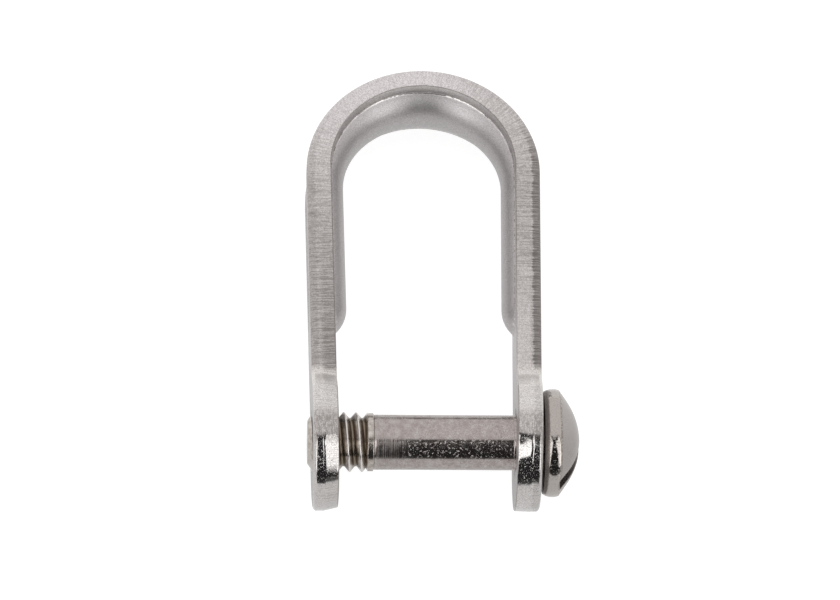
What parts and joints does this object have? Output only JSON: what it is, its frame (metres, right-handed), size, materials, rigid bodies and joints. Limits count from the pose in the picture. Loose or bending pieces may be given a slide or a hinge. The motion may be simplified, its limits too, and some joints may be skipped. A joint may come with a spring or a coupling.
{
  "type": "strip D shackle",
  "caption": "D shackle pressed from steel strip, with a ribbed bow, round lugs and a slotted screw pin, for joining ropes and fittings on a boat.",
  "frame": {"origin": "on the axis of the pin, midway between the two lugs and in the middle of the strip's width", "axes": "+X along the pin towards its head, +Y from the pin to the crown of the bow, +Z across the width of the strip, so the shackle lies flat"},
  "size_m": [0.0281, 0.0498, 0.0143],
  "materials": {
    "strip_steel": "tumbled satin stainless steel, with sheared edges",
    "pin_steel": "tumbled bright stainless steel, with turning marks"
  },
  "bodies": {
    "shackle": {"shackle_body": "strip_steel"},
    "pin_slider": {"pin_shank": "pin_steel"},
    "pin_turner": {"pin_thread": "pin_steel", "pin_head": "pin_steel"}
  },
  "joints": [
    {"name": "pin_travel", "type": "slide", "parent": "shackle", "child": "pin_slider", "axis": [1, 0, 0], "range_m": [0, 0.02159]},
    {"name": "pin_turn", "type": "hinge", "parent": "pin_slider", "child": "pin_turner", "pos_m": [0, 0, 0], "axis": [1, 0, 0], "range_deg": [0, 6120]}
  ],
  "couplings": [
    {"joint": "pin_turn", "follows": "pin_travel", "rad_per_m": 4947.4}
  ]
}
